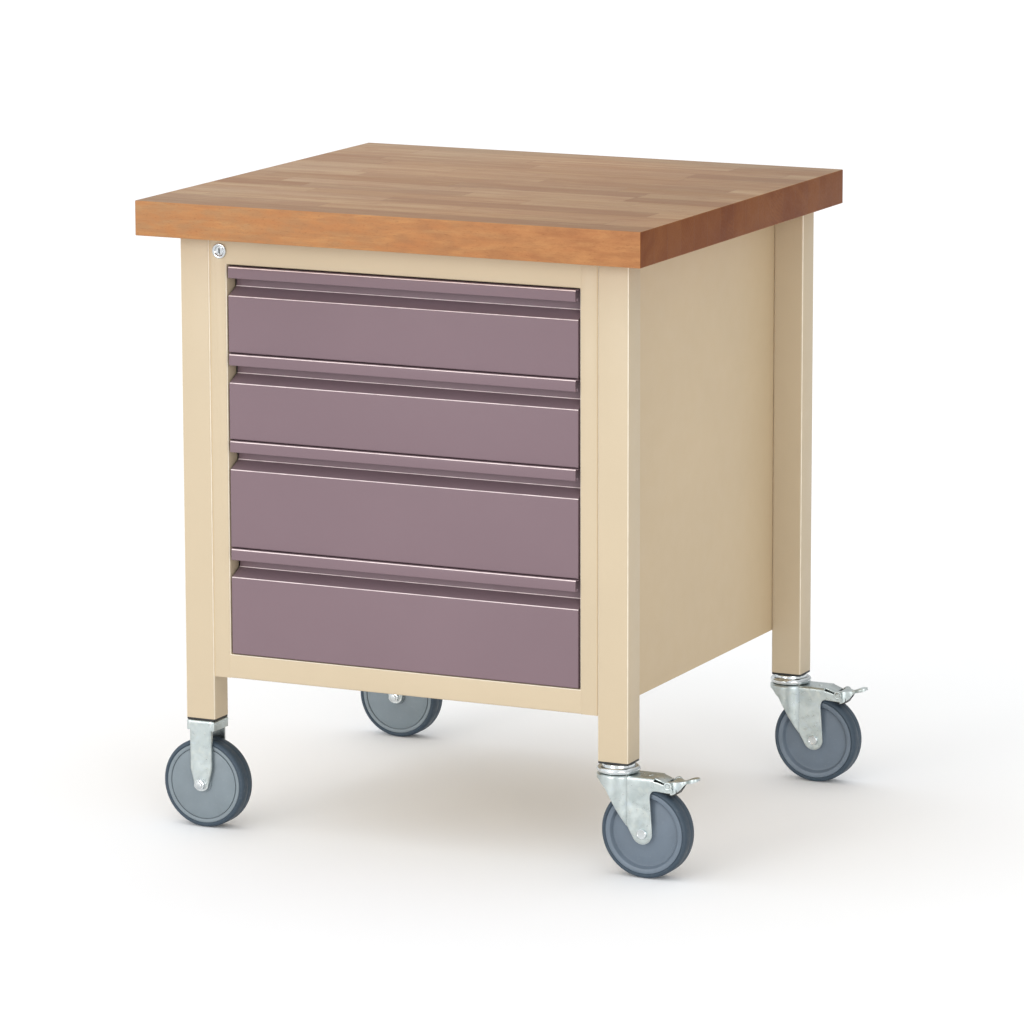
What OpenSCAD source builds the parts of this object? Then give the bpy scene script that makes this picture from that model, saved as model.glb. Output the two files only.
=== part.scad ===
// Mobile workbench: a beech worktop on four square legs, a steel housing with four drawers
// between the legs, two fixed castors on the left and two braked swivel castors on the right.
// X runs along the drawer fronts to the right, Y runs from the front to the back, Z is up.
// The origin is on the floor under the middle of the worktop.

/* [Worktop] */
// Width of the worktop, along the drawer fronts
top_w = 750; // [740:10:900]
// Depth of the worktop, front to back
top_d = 700; // [700:10:800]
// Thickness of the beech worktop
top_t = 48; // [40:1:60]
// Height of the working surface above the floor
bench_h = 880; // [860:10:960]

/* [Legs] */
// Width of a leg, seen from the front
leg_w = 45; // [42:1:50]
// Depth of a leg, seen from the side
leg_d = 40; // [38:1:45]
// Wall thickness of the leg tube
leg_wall = 2; // [1.5:0.5:3]
// How far the worktop stands out past the legs at either side
side_overhang = 40; // [30:5:45]
// How far the worktop stands out in front of the legs
front_overhang = 52; // [40:1:60]
// How far the worktop stands out behind the legs
back_overhang = 8; // [0:1:20]

/* [Housing] */
// Thickness of the folded steel sheet
sheet = 1.5; // [1:0.1:2]
// Width of the upright either side of the drawers
stile_w = 26; // [26:1:30]
// Height of the rail over the drawers
top_rail_h = 39; // [37:1:50]
// Height of the rail under the drawers
bottom_rail_h = 33.5; // [28:0.5:40]

/* [Drawers] */
// Height taken by each of the two upper drawers
shallow_pitch = 120; // [115:5:130]
// Height taken by each of the two lower drawers
deep_pitch = 150; // [140:5:160]
// Length of the drawer slides
rail_length = 550; // [500:10:560]
// Height of the grip strip along the top of a drawer front
strip_h = 16; // [12:1:20]
// Depth of the finger recess behind the grip strip
recess_d = 24; // [20:1:24]

/* [Castors] */
// Diameter of the wheels
wheel_d = 125; // [120:1:126]
// Width of the tyres
wheel_w = 32; // [28:1:34]
// Height of a castor from the floor to its top plate
castor_h = 153; // [151:1:156]
// Distance from the swivel axis to the wheel axle
swivel_offset = 43; // [40:1:44]

/* [Lock] */
// Diameter of the lock's outer ring
lock_d = 21; // [18:0.5:21]
// Distance from the lock's axis to the cam pin
cam_r = 9; // [8.5:0.1:9.2]

/* [Hidden] */
$fn = 48;

// Colours
cream = [0.86, 0.79, 0.66];
mauve = [0.57, 0.48, 0.51];
beech = [0.76, 0.55, 0.38];
zinc = [0.72, 0.75, 0.75];
rim_grey = [0.48, 0.52, 0.57];
tyre_grey = [0.26, 0.32, 0.39];
black = [0.12, 0.12, 0.11];
chrome = [0.80, 0.81, 0.82];

// Places of the legs and the frame
top_z = bench_h - top_t;
leg_x = top_w / 2 - side_overhang - leg_w / 2;
front_leg_y = -top_d / 2 + front_overhang + leg_d / 2;
back_leg_y = top_d / 2 - back_overhang - leg_d / 2;
plug_t = 3;
leg_z = castor_h + plug_t;

// The housing stands between the legs, 1 mm behind their front faces
housing_x = leg_x - leg_w / 2;
face_y = front_leg_y - leg_d / 2 + 1;
back_y = back_leg_y + leg_d / 2 - 2;
wall_x = housing_x - sheet;
opening_x = housing_x - stile_w;
opening_top = top_z - top_rail_h;
drawer_pitch = [shallow_pitch, shallow_pitch, deep_pitch, deep_pitch];
drawer_gap = 2;
drawers_h = 2 * (shallow_pitch + deep_pitch);
opening_bottom = opening_top - drawers_h - drawer_gap;
housing_z = opening_bottom - bottom_rail_h;
stile_d = 27;
crossbar_y = 180;
crossbar_w = 40;
crossbar_h = 18;

// Screws
screw_z = [housing_z + 43, (housing_z + top_z) / 2, top_z - 42];
screw_r = 3;
screw_head_r = 5;
screw_head_h = 3;
screw_length = 12;
wood_screw_r = 2.5;
wood_screw_length = 30;
wood_screw_xs = [-240, -80, 80, 240];

// Slides: three nested channels, counted outwards from the tray's side
tray_x = opening_x - 13;
inner_web = 1.2;
inner_half = 18.5;
middle_x = opening_x - 3;
middle_half = 20.5;
outer_half = 22.5;
rail_y = face_y + 35;
post_w = 30;

// Drawer fronts and trays
front_t = 1.2;
front_x = opening_x - 2;
strip_out = 4;
strip_inset = 3;
lip_drop = 41.5;
crease_drop = 30;
tray_t = 1.2;
tray_lift = 6;
tray_drop = 24;
tray_y = face_y + recess_d + front_t;
tray_back = rail_y + rail_length;
rail_lift = 36;

// Lock
lock_x = -(opening_x + stile_w / 2 - 3);
lock_z = opening_top + 17;
lock_body_r = 8;
lock_core_r = 6.5;
cam_y = face_y + 28.2;
cam_t = 2;
cam_angle = 45;
pin_r = 1.5;
lift_bar_y = cam_y + cam_t + 0.5;
bar_t = 2;

// Castors
wheel_r = wheel_d / 2;
axle_z = wheel_r;
axle_r = 6;
rim_r = wheel_r - 6.5;
hub_half = 17.3;
fork_in = 17.5;
fork_out = 20;
bracket_in = 19.5;
bracket_out = 22;
stem_r = 5.5;
stem_length = 18;
crown_r = 29.5;
crown_z = castor_h - 22;
fork_z = castor_h - 13;
pedal_x = 80;
pedal_z = castor_h - 22;
pedal_r = 3.2;

// Sum of the first n entries of a list
function sum_first(list, n) = n == 0 ? 0 : list[n - 1] + sum_first(list, n - 1);
// Top and height of drawer front i, counted from the top drawer, which is number 1
function front_top(i) = opening_top - 3 - sum_first(drawer_pitch, i - 1);
function front_h(i) = drawer_pitch[i - 1] - drawer_gap;
function front_z(i) = front_top(i) - front_h(i);
function rail_z(i) = front_z(i) + rail_lift;
// Point where a line from p touches a circle about c on its lower left side
function tangent_point(p, c, r) =
    let (d = c - p, length = norm(d), turn = atan2(d.y, d.x) - asin(r / length))
    p + sqrt(length * length - r * r) * [cos(turn), sin(turn)];

// A shape and its mirror image about the middle plane x = 0
module both_sides() {
    children();
    mirror([1, 0, 0]) children();
}

// An outline drawn in y and z, drawn out along x between two values
module along_x(x0, x1) {
    translate([x0, 0, 0]) rotate([90, 0, 90]) linear_extrude(x1 - x0) children();
}

// An outline drawn in x and z, drawn out along y between two values
module along_y(y0, y1) {
    translate([0, y1, 0]) rotate([90, 0, 0]) linear_extrude(y1 - y0) children();
}

// A box between two corners
module block(low, high) {
    translate(low) cube(high - low);
}

// A round bar along y between two values
module bar_y(r, y0, y1) {
    translate([0, y0, 0]) rotate([-90, 0, 0]) cylinder(r = r, h = y1 - y0);
}

// A round bar along x between two values
module bar_x(r, x0, x1) {
    translate([x0, 0, 0]) rotate([0, 90, 0]) cylinder(r = r, h = x1 - x0);
}

// A shape at the two left legs, or at the two right legs
module at_legs(x) {
    for (y = [front_leg_y, back_leg_y])
        translate([x, y, 0]) children();
}

// The screws' places up each leg
module at_housing_screws() {
    both_sides()
        for (y = [front_leg_y, back_leg_y], z = screw_z)
            translate([0, y, z]) children();
}

module worktop() {
    color(beech) block([-top_w / 2, -top_d / 2, top_z], [top_w / 2, top_d / 2, bench_h]);
}

module at_wood_screws() {
    for (x = wood_screw_xs, y = [-crossbar_y, crossbar_y])
        translate([x, y, top_z - sheet]) children();
}

module worktop_screws() {
    color(zinc) at_wood_screws() {
        translate([0, 0, -screw_head_h]) cylinder(r = screw_head_r, h = screw_head_h);
        cylinder(r = wood_screw_r, h = wood_screw_length);
    }
}

module top_crossbars() {
    half = crossbar_w / 2;
    color(zinc) difference() {
        for (y = [-crossbar_y, crossbar_y])
            translate([0, y, 0])
                along_x(-wall_x, wall_x)
                    difference() {
                        translate([-half, top_z - crossbar_h]) square([crossbar_w, crossbar_h]);
                        translate([-half + sheet, top_z - crossbar_h])
                            square([crossbar_w - 2 * sheet, crossbar_h - sheet]);
                    }
        at_wood_screws() translate([0, 0, -1]) cylinder(r = wood_screw_r + 0.2, h = sheet + 2);
    }
}

// A leg tube about its own axis, with holes for the housing's screws in its inner wall
module leg(x, y) {
    inner_w = leg_w - 2 * leg_wall;
    inner_d = leg_d - 2 * leg_wall;
    color(cream) difference() {
        translate([x, y, leg_z])
            linear_extrude(top_z - leg_z)
                difference() {
                    square([leg_w, leg_d], center = true);
                    square([inner_w, inner_d], center = true);
                }
        at_housing_screws() bar_x(screw_r + 0.15, wall_x - 1, housing_x + leg_wall + 1);
    }
}

module leg_plugs() {
    clearance = 0.1;
    plug_w = leg_w - 2 * leg_wall - 2 * clearance;
    plug_d = leg_d - 2 * leg_wall - 2 * clearance;
    plug_h = stem_length + 5;
    color(black) both_sides() at_legs(leg_x) difference() {
        union() {
            translate([-leg_w / 2, -leg_d / 2, castor_h]) cube([leg_w, leg_d, plug_t]);
            translate([-plug_w / 2, -plug_d / 2, castor_h]) cube([plug_w, plug_d, plug_h]);
        }
        translate([0, 0, castor_h - 1]) cylinder(r = stem_r + clearance, h = stem_length + 2);
    }
}

module housing_wall() {
    color(cream) difference() {
        block([wall_x, face_y, housing_z], [housing_x, back_y, top_z]);
        at_housing_screws() bar_x(screw_r + 0.15, wall_x - 1, housing_x + 1);
    }
}

module housing_back() {
    color(cream) block([-wall_x, back_y - sheet, housing_z], [wall_x, back_y, top_z]);
}

module housing_floor() {
    color(cream)
        block([-wall_x, face_y + stile_d, housing_z], [wall_x, back_y - sheet, housing_z + sheet]);
}

module housing_screws() {
    color(zinc) at_housing_screws() {
        bar_x(screw_head_r, wall_x - screw_head_h, wall_x);
        bar_x(screw_r, wall_x, wall_x - screw_head_h + screw_length);
    }
}

// The upright at the right of the drawers: a face, an inner side and a short return
module front_stile() {
    return_w = 3;
    color(cream)
        translate([0, 0, housing_z])
            linear_extrude(top_z - housing_z) {
                translate([opening_x, face_y]) square([stile_w - sheet, sheet]);
                translate([opening_x, face_y]) square([sheet, stile_d]);
                translate([opening_x, face_y + stile_d - sheet]) square([return_w, sheet]);
            }
}

module front_stile_left() {
    difference() {
        mirror([1, 0, 0]) front_stile();
        translate([lock_x, 0, lock_z]) bar_y(lock_body_r + 0.1, face_y - 1, face_y + sheet + 1);
    }
}

// A rail across the front: a face with a flange at the opening and one at the far edge
module front_rail(z0, z1, flange_zs) {
    color(cream) along_x(-opening_x, opening_x) {
        translate([face_y, z0]) square([sheet, z1 - z0]);
        for (z = flange_zs)
            translate([face_y, z]) square([stile_d - 3, sheet]);
    }
}

module front_rail_top() {
    front_rail(opening_top, top_z, [opening_top, top_z - sheet]);
}

module front_rail_bottom() {
    front_rail(housing_z, opening_bottom, [housing_z, opening_bottom - sheet]);
}

// Four channels that carry the drawer slides, open towards the housing's side walls
module slide_posts() {
    depth = wall_x - opening_x;
    color(zinc) both_sides()
        for (y = [rail_y + 2, rail_y + rail_length - post_w - 20])
            translate([opening_x, y, housing_z + sheet])
                linear_extrude(top_z - housing_z - 2 * sheet)
                    difference() {
                        square([depth, post_w]);
                        translate([sheet, sheet]) square([depth, post_w - 2 * sheet]);
                    }
}

module lock_housing() {
    ring_t = 2.5;
    color(chrome) translate([lock_x, 0, lock_z]) difference() {
        union() {
            bar_y(lock_d / 2, face_y - ring_t, face_y);
            bar_y(lock_body_r, face_y, face_y + stile_d - 3);
        }
        bar_y(lock_core_r + 0.06, face_y - ring_t - 1, face_y + stile_d);
    }
}

// The lock's turning core, with its keyway and the cam that lifts the bar
module lock_plug() {
    keyway_w = 1.8;
    keyway_h = 8;
    keyway_depth = 14;
    front = face_y - 2.2;
    color(chrome) translate([lock_x, 0, lock_z]) {
        difference() {
            bar_y(lock_core_r, front, cam_y);
            translate([-keyway_w / 2, front - 1, -keyway_h / 2])
                cube([keyway_w, keyway_depth + 1, keyway_h]);
        }
        rotate([0, cam_angle, 0]) {
            bar_y(4, cam_y, cam_y + cam_t);
            translate([0, cam_y, -3]) cube([cam_r, cam_t, 6]);
            translate([cam_r, 0, 0]) {
                bar_y(3, cam_y, cam_y + cam_t);
                bar_y(pin_r, cam_y, lift_bar_y + bar_t);
            }
        }
    }
}

// The upright bar that the cam lifts, with a catch beside each drawer
module lock_bar() {
    pin_drop = cam_r * sin(cam_angle);
    slot_half = pin_r + 0.45;
    head_x = lock_x + cam_r + 4.5;
    left_x = -wall_x + 2.5;
    body_w = 12;
    catch_x = left_x + body_w + 8;
    color(zinc) difference() {
        union() {
            block([left_x, lift_bar_y, housing_z + 18], [left_x + body_w, lift_bar_y + bar_t, lock_z]);
            block([left_x, lift_bar_y, lock_z - 14], [head_x, lift_bar_y + bar_t, lock_z + 5]);
            for (i = [1:4])
                translate([0, 0, front_z(i)])
                    block([left_x, lift_bar_y, 62], [catch_x, lift_bar_y + bar_t, 70]);
        }
        translate([lock_x, lift_bar_y - 1, lock_z - pin_drop - slot_half])
            cube([cam_r + pin_r + 0.6, bar_t + 2, 2 * slot_half]);
        translate([lock_x, lift_bar_y - 1, lock_z - pin_drop - slot_half])
            cube([1, bar_t + 2, 2 * slot_half]);
    }
}

// Folded section of a drawer front of height h: bottom flange, face, sloping lip,
// back of the finger recess, top, and the grip strip that hangs down in front
function front_outline(h) =
    let (t = front_t,
         slope = atan2(lip_drop - crease_drop, recess_d),
         under = t / cos(slope),
         rise = tan(slope))
    [[recess_d + t, 0], [0, 0], [0, h - lip_drop], [recess_d, h - crease_drop],
     [recess_d, h - t], [t - strip_out, h - t], [t - strip_out, h - strip_h],
     [-strip_out, h - strip_h], [-strip_out, h], [recess_d + t, h],
     [recess_d + t, h - lip_drop + (recess_d + t) * rise - under],
     [t, h - lip_drop + t * rise - under], [t, t], [recess_d + t, t]];

module drawer_front(i) {
    h = front_h(i);
    color(mauve) translate([0, face_y, front_z(i)]) difference() {
        union() {
            along_x(-front_x, front_x) polygon(front_outline(h));
            both_sides()
                block([front_x - front_t, 0, 0], [front_x, recess_d, h - lip_drop - front_t]);
        }
        both_sides()
            block([front_x - strip_inset, -strip_out - 1, h - strip_h - 1], [front_x + 1, 0, h + 1]);
    }
}

module drawer_tray(i) {
    z0 = front_z(i) + tray_lift;
    z1 = front_top(i) - tray_drop;
    color(cream) difference() {
        block([-tray_x, tray_y, z0], [tray_x, tray_back, z1]);
        block([-tray_x + tray_t, tray_y + tray_t, z0 + tray_t],
              [tray_x - tray_t, tray_back - tray_t, z1 + 1]);
    }
}

// A channel of the slides between two x values, its web on one side and its flanges on the other
module channel(web_x, open_x, half, t) {
    low = min(web_x, open_x);
    high = max(web_x, open_x);
    cut_low = web_x < open_x ? web_x + t : open_x - 1;
    cut_high = web_x < open_x ? open_x + 1 : web_x - t;
    difference() {
        block([low, rail_y, -half], [high, rail_y + rail_length, half]);
        block([cut_low, rail_y - 1, t - half], [cut_high, rail_y + rail_length + 1, half - t]);
    }
}

module inner_rails(i) {
    color(zinc) translate([0, 0, rail_z(i)])
        both_sides() channel(tray_x, tray_x + 7.5, inner_half, inner_web);
}

module middle_rails(i) {
    color(zinc) translate([0, 0, rail_z(i)])
        both_sides() channel(middle_x, tray_x + 2.5, middle_half, inner_web);
}

module outer_rails(i) {
    color(zinc) translate([0, 0, rail_z(i)])
        both_sides() channel(opening_x, opening_x - 9.5, outer_half, sheet);
}

// Wheel centre with a hub, a flat disc, a groove and a raised rim, about the y axis
module wheel(x, y) {
    disc_half = 13;
    rim_half = wheel_w / 2 - 1;
    groove_r = rim_r - 6;
    half_outline = [[axle_r + 0.05, hub_half], [13, hub_half],
                    [13, disc_half], [groove_r - 1, disc_half], [groove_r - 0.5, disc_half - 1.5],
                    [groove_r + 0.5, disc_half - 1.5], [groove_r + 1, rim_half], [rim_r, rim_half]];
    last = len(half_outline) - 1;
    other_half = [for (k = [last:-1:0]) [half_outline[k].x, -half_outline[k].y]];
    color(rim_grey) translate([x, y, axle_z]) rotate([90, 0, 0])
        rotate_extrude() polygon(concat(half_outline, other_half));
}

// Tyre with rounded shoulders, about the y axis
module tyre(x, y) {
    shoulder = 5;
    inner = rim_r + 0.05;
    edge = wheel_w / 2 - shoulder;
    right = [for (a = [90:-15:0]) [wheel_r - shoulder + shoulder * cos(a), edge + shoulder * sin(a)]];
    left = [for (a = [0:15:90]) [wheel_r - shoulder + shoulder * cos(a), -edge - shoulder * sin(a)]];
    color(tyre_grey) translate([x, y, axle_z]) rotate([90, 0, 0])
        rotate_extrude()
            polygon(concat([[inner, wheel_w / 2]], right, left, [[inner, -wheel_w / 2]]));
}

// Axle bolt of a swivel castor, with a flat round head in front and a hexagon nut behind
module swivel_axle(y) {
    head_r = 7;
    head_t = 3;
    nut_r = 8.5;
    nut_t = 4.5;
    color(zinc) translate([leg_x + swivel_offset, y, axle_z]) {
        bar_y(axle_r, -fork_out, fork_out + nut_t + 1);
        bar_y(head_r, -fork_out - head_t, -fork_out);
        translate([0, fork_out, 0]) rotate([-90, 30, 0]) cylinder(r = nut_r, h = nut_t, $fn = 6);
    }
}

// Axle bolts of the fixed castors: nut in front, head behind, a spacer at each side of the hub
module fixed_castor_axles() {
    nut_r = 8;
    nut_t = 5.5;
    head_r = 8;
    head_t = 3.5;
    spacer_r = 9;
    color(zinc)
        for (y = [front_leg_y, back_leg_y]) translate([-leg_x, y, axle_z]) {
            bar_y(axle_r, -bracket_out - nut_t - 2.5, bracket_out);
            bar_y(head_r, bracket_out, bracket_out + head_t);
            translate([0, -bracket_out, 0]) rotate([90, 30, 0])
                cylinder(r = nut_r, h = nut_t, $fn = 6);
            bar_y(spacer_r, -bracket_in, -hub_half - 0.2);
            bar_y(spacer_r, hub_half + 0.2, bracket_in);
        }
}

// Stem that holds a castor in the leg plug
module stem() {
    translate([0, 0, castor_h - 1]) cylinder(r = stem_r, h = stem_length + 1);
}

// Bracket of a fixed castor: a cap with a skirt all round, and two strips down to the axle
module fixed_bracket(y) {
    plate_t = 3;
    wall = 2.5;
    skirt_h = 14;
    strip_half = 17;
    end_r = 12;
    taper_z = axle_z + 22;
    skirt_z = castor_h - skirt_h;
    side = bracket_out;
    color(zinc) translate([-leg_x, y, 0]) {
        stem();
        difference() {
            block([-side, -side, skirt_z], [side, side, castor_h]);
            block([wall - side, wall - side, skirt_z - 1], [side - wall, side - wall, castor_h - plate_t]);
        }
        for (span = [[-bracket_out, -bracket_in], [bracket_in, bracket_out]])
            difference() {
                along_y(span[0], span[1]) {
                    polygon([[-strip_half, castor_h - 1], [-strip_half, taper_z], [-end_r, axle_z],
                             [end_r, axle_z], [strip_half, taper_z], [strip_half, castor_h - 1]]);
                    translate([0, axle_z]) circle(r = end_r);
                }
                translate([0, 0, axle_z]) bar_y(axle_r + 0.05, span[0] - 1, span[1] + 1);
            }
    }
}

// Head that is fixed to the leg: two raised rings, the stem above and the king pin below
module swivel_head(y) {
    pin_z = crown_z - 3.5;
    color(zinc) translate([leg_x, y, 0]) {
        stem();
        translate([0, 0, castor_h - 6.5]) cylinder(r = 22.5, h = 6.5);
        translate([0, 0, castor_h - 12.5]) cylinder(r = crown_r, h = 6);
        translate([0, 0, pin_z]) cylinder(r = axle_r, h = castor_h - 12 - pin_z);
        translate([0, 0, pin_z]) cylinder(r = 9, h = 3);
    }
}

// Swivel fork: round crown, roof with a flap bent down, and two side plates that reach down
// to the axle, each with an arm at the back that holds the lever's rod
module fork(y) {
    hub = [swivel_offset, axle_z];
    end_r = 14.5;
    nose = [-8, crown_z - 8];
    roof_x = 60;
    ear_r = 6;
    flap_end = [74, fork_z - 5.5];
    side = [nose, tangent_point(nose, hub, end_r), hub, hub + [end_r, 0], [54, crown_z - 19],
            [56.5, crown_z - 11.5], [61, crown_z - 8.5], [86, crown_z - 9.5], [86, crown_z - 4],
            [79, pedal_z], [70, crown_z + 3], [roof_x, fork_z - 2], [48, fork_z],
            [-20, fork_z], [-20, crown_z + 3.5]];
    roof = [[0, fork_z], [48, fork_z], [roof_x, fork_z - 2], [roof_x, fork_z - 4], [0, fork_z - 3]];
    flap = [[roof_x - 4, fork_z], [roof_x, fork_z], flap_end, flap_end - [0.8, 2.2],
            [roof_x - 4, fork_z - 3]];
    color(zinc) translate([leg_x, y, 0]) difference() {
        union() {
            translate([0, 0, crown_z]) cylinder(r = crown_r, h = fork_z - crown_z);
            along_y(-fork_out, fork_out) polygon(roof);
            along_y(-15, 15) polygon(flap);
            for (span = [[-fork_out, -fork_in], [fork_in, fork_out]])
                along_y(span[0], span[1]) {
                    polygon(side);
                    translate(hub) circle(r = end_r);
                }
            for (span = [[-fork_out, -15], [15, fork_out]])
                translate([pedal_x, 0, pedal_z]) bar_y(ear_r, span[0], span[1]);
        }
        translate([0, 0, crown_z - 1]) cylinder(r = axle_r + 0.06, h = fork_z - crown_z + 2);
        translate([hub.x, 0, hub.y]) bar_y(axle_r + 0.05, -fork_out - 1, fork_out + 1);
        translate([pedal_x, 0, pedal_z]) bar_y(pedal_r + 0.06, -fork_out - 1, fork_out + 1);
    }
}

// Brake lever: a rod in the fork's ears, a body that narrows to a pedal pointing up and out,
// and the brake shoe under the body
module brake_lever(y) {
    tip = [38, 11];
    body_half = 14.5;
    neck_half = 5.5;
    pad_half = 7.5;
    color(zinc) translate([leg_x + pedal_x, y, pedal_z]) {
        bar_y(pedal_r, -fork_out, fork_out);
        bar_y(5.5, -body_half, body_half);
        block([-2, -12, -14], [7, 12, 0]);
        intersection() {
            along_y(-body_half, body_half)
                polygon([[0, 0], [0, -12.5], [4, -12.5], [14, -6], [22, -1.5], [30, 4], tip - [1, 3.5], tip,
                         [30, 8], [20, 3.5], [8, 4.5]]);
            translate([0, 0, -20]) linear_extrude(40)
                polygon([[0, -body_half], [8, -body_half], [19, -neck_half], [24, -neck_half],
                         [30, -pad_half], [tip.x, -4.5], [tip.x, 4.5], [30, pad_half],
                         [24, neck_half], [19, neck_half], [8, body_half], [0, body_half]]);
        }
    }
}

worktop();
worktop_screws();
top_crossbars();
leg(-leg_x, front_leg_y);  // leg_front_left
leg(leg_x, front_leg_y);  // leg_front_right
leg(-leg_x, back_leg_y);  // leg_back_left
leg(leg_x, back_leg_y);  // leg_back_right
leg_plugs();
mirror([1, 0, 0]) housing_wall();  // housing_wall_left
housing_wall();  // housing_wall_right
housing_back();
housing_floor();
housing_screws();
front_stile_left();
front_stile();  // front_stile_right
front_rail_top();
front_rail_bottom();
slide_posts();
lock_housing();
lock_plug();
lock_bar();
drawer_front(1);  // drawer_1_front
drawer_tray(1);  // drawer_1_tray
inner_rails(1);  // drawer_1_inner_rails
middle_rails(1);  // drawer_1_middle_rails
outer_rails(1);  // drawer_1_outer_rails
drawer_front(2);  // drawer_2_front
drawer_tray(2);  // drawer_2_tray
inner_rails(2);  // drawer_2_inner_rails
middle_rails(2);  // drawer_2_middle_rails
outer_rails(2);  // drawer_2_outer_rails
drawer_front(3);  // drawer_3_front
drawer_tray(3);  // drawer_3_tray
inner_rails(3);  // drawer_3_inner_rails
middle_rails(3);  // drawer_3_middle_rails
outer_rails(3);  // drawer_3_outer_rails
drawer_front(4);  // drawer_4_front
drawer_tray(4);  // drawer_4_tray
inner_rails(4);  // drawer_4_inner_rails
middle_rails(4);  // drawer_4_middle_rails
outer_rails(4);  // drawer_4_outer_rails
fixed_bracket(front_leg_y);  // fixed_bracket_front
fixed_bracket(back_leg_y);  // fixed_bracket_back
fixed_castor_axles();
wheel(-leg_x, front_leg_y);  // wheel_front_left
tyre(-leg_x, front_leg_y);  // tyre_front_left
wheel(-leg_x, back_leg_y);  // wheel_back_left
tyre(-leg_x, back_leg_y);  // tyre_back_left
swivel_head(front_leg_y);  // swivel_head_front
fork(front_leg_y);  // fork_front_right
wheel(leg_x + swivel_offset, front_leg_y);  // wheel_front_right
tyre(leg_x + swivel_offset, front_leg_y);  // tyre_front_right
swivel_axle(front_leg_y);  // axle_front_right
brake_lever(front_leg_y);  // brake_lever_front
swivel_head(back_leg_y);  // swivel_head_back
fork(back_leg_y);  // fork_back_right
wheel(leg_x + swivel_offset, back_leg_y);  // wheel_back_right
tyre(leg_x + swivel_offset, back_leg_y);  // tyre_back_right
swivel_axle(back_leg_y);  // axle_back_right
brake_lever(back_leg_y);  // brake_lever_back
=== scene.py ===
"""Looks of the mobile workbench: wood, painted sheet steel, zinc castors and the studio."""

import math

import bmesh
import bpy
from mathutils import Matrix, Vector


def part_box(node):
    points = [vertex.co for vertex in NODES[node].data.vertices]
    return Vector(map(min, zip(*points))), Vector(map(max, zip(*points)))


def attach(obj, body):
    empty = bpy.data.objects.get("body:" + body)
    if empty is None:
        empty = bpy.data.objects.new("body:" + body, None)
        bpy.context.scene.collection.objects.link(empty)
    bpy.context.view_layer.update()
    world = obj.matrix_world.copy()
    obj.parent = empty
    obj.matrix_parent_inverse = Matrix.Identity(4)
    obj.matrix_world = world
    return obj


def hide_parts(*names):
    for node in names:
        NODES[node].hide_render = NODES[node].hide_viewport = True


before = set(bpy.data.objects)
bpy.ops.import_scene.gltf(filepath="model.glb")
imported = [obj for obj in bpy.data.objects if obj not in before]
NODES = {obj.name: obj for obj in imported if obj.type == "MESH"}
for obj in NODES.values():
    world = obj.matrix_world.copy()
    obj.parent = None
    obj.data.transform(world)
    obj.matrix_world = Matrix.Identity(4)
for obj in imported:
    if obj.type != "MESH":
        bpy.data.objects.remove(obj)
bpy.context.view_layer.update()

MM = 0.001
# for each axis: the two coordinates of an outline drawn across it, and its own
AXES = {"x": (1, 2, 0), "y": (0, 2, 1), "z": (0, 1, 2)}


# ---------------------------------------------------------------- outlines

def rounded(points, radii, steps=5, closed=True):
    """An outline with its corners rounded, by one radius or by a list with one for each."""
    count = len(points)
    if not isinstance(radii, (list, tuple)):
        radii = [radii] * count
    result = []
    for i, corner in enumerate(points):
        here = Vector(corner)
        ends = not closed and i in (0, count - 1)
        if ends or radii[i] <= 0:
            result.append(here)
            continue
        before = Vector(points[i - 1]) - here
        after = Vector(points[(i + 1) % count]) - here
        half = before.angle(after) / 2
        longest = 0.499 * min(before.length, after.length)
        reach = min(radii[i] / math.tan(half), longest)
        radius = reach * math.tan(half)
        before.normalize()
        after.normalize()
        centre = here + (before + after).normalized() * radius / math.sin(half)
        start = here + before * reach - centre
        turn = start.angle_signed(here + after * reach - centre)
        for k in range(steps + 1):
            angle = -turn * k / steps
            spun = Vector((start.x * math.cos(angle) - start.y * math.sin(angle),
                           start.x * math.sin(angle) + start.y * math.cos(angle)))
            result.append(centre + spun)
    return result


def rectangle(x0, y0, x1, y1, radius=0.0, steps=5):
    return rounded([(x0, y0), (x1, y0), (x1, y1), (x0, y1)], radius, steps)


def inside(low, high, inset, radius, steps=5):
    """The footprint of a box, drawn in by an inset all round."""
    return rectangle(low.x + inset, low.y + inset, high.x - inset, high.y - inset, radius, steps)


def circle(centre, radius, steps=48):
    return arc(centre, radius, 0, 360 * (steps - 1) / steps, steps - 1)


def arc(centre, radius, start, stop, steps=8):
    turns = [math.radians(start + (stop - start) * k / steps) for k in range(steps + 1)]
    return [(centre[0] + radius * math.cos(a), centre[1] + radius * math.sin(a)) for a in turns]


def in_mm(points):
    """The same points, from millimetres to metres."""
    return [tuple(value * MM for value in point) for point in points]


def mirrored(half):
    """A (radius, height) outline given above the middle plane, closed with its image below it."""
    return half + [(r, -h) for r, h in reversed(half) if h]


def both_sides(half):
    """An (across, height) row given for one side, continued by its image on the other side."""
    return half + [(-across, high) for across, high in reversed(half) if across]


def quarter(radius, step=15, first=0):
    """How far a bend has gone in and on, from its start at 0 to its end at 90 degrees."""
    turns = [math.radians(a) for a in range(first, 91, step)]
    return [(radius * (1 - math.cos(a)), radius * math.sin(a)) for a in turns]


def folded(path, radius, thickness, steps=5):
    """Closed outline of a sheet of even thickness that is bent along an open path."""
    middle = rounded(path, radius, steps, closed=False)
    left, right = [], []
    for i, point in enumerate(middle):
        before = (point - middle[i - 1]).normalized() if i else None
        after = (middle[i + 1] - point).normalized() if i < len(middle) - 1 else None
        along = (before or after) + (after or before)
        along.normalize()
        reach = thickness / 2 / max(0.5, along.dot(after or before))
        side = Vector((-along.y, along.x)) * reach
        left.append(point + side)
        right.append(point - side)
    return left + right[::-1]


# ---------------------------------------------------------------- meshes

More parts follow.
